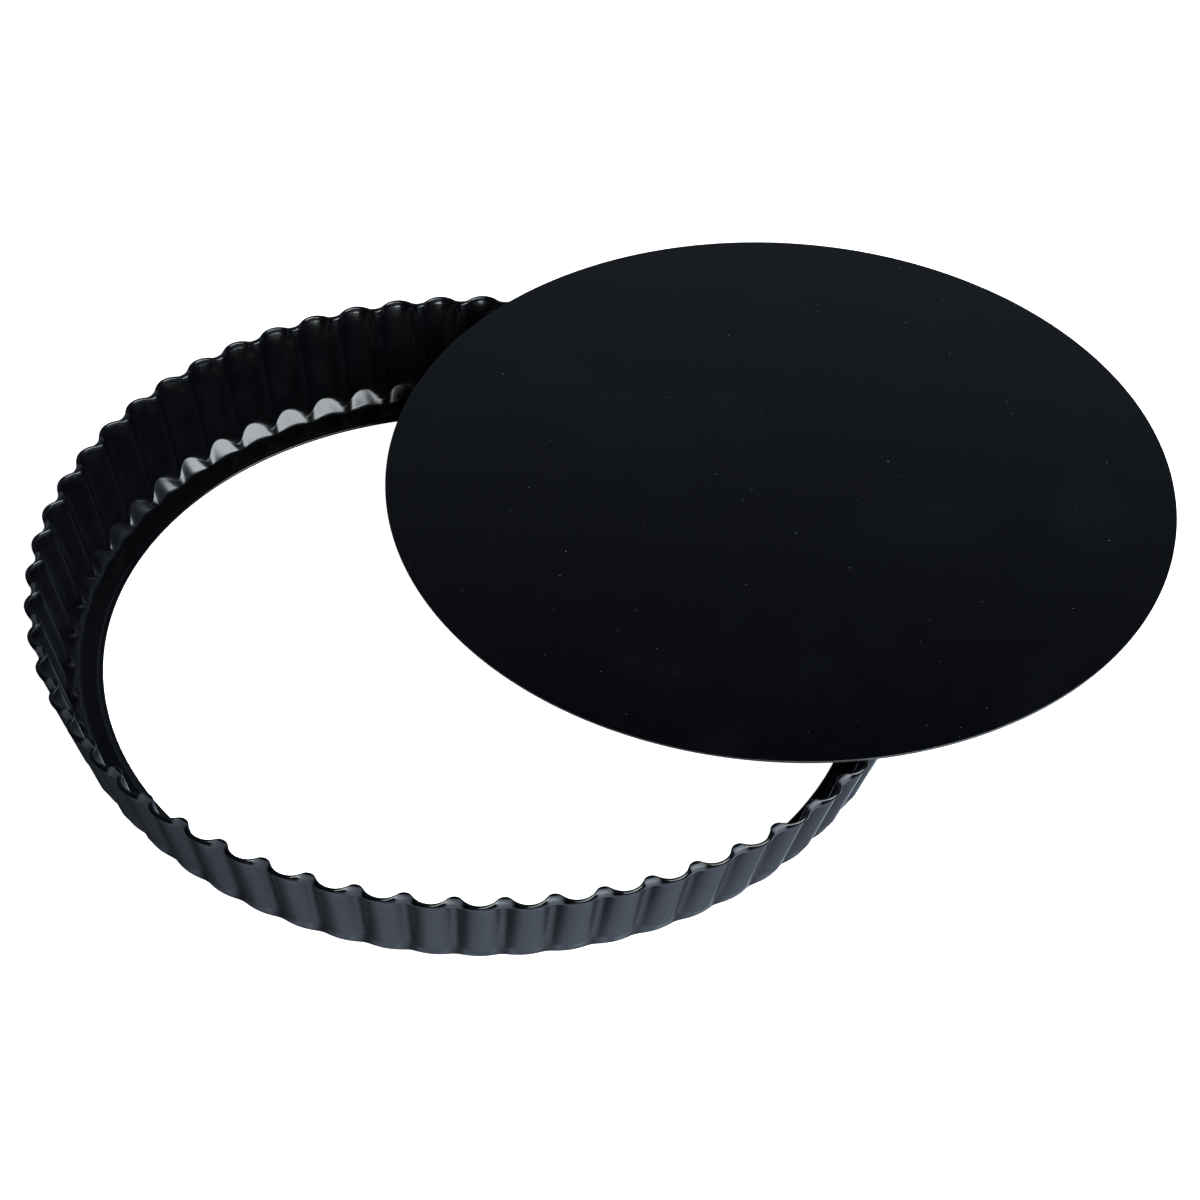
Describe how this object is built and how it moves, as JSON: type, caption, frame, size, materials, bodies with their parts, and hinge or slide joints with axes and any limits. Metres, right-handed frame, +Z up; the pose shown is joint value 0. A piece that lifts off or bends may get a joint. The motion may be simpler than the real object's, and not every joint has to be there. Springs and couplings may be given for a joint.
{
  "type": "tart pan",
  "caption": "Loose-bottom tart pan: a fluted sheet-steel ring with an inward ledge, and a flat round bottom that is out of its seat and lies across the rim.",
  "frame": {"origin": "middle of the bounding box, at the level of the table that the ring stands on", "axes": "+Z up, out of the open top of the ring; +X along the longest extent, towards the side where the loose bottom overhangs the ring; +Y to the back"},
  "size_m": [0.3642, 0.3208, 0.0355],
  "materials": {
    "ring_coating": "black non-stick coating, satin to semi-gloss",
    "bottom_coating": "black non-stick coating, satin"
  },
  "bodies": {
    "ring": {"fluted_ring": "ring_coating"},
    "bottom": {"loose_bottom": "bottom_coating"}
  },
  "joints": [
    {"name": "bottom_lift", "type": "slide", "parent": "ring", "child": "bottom", "axis": [0, 0, 1], "range_m": [0, 0.08]}
  ]
}
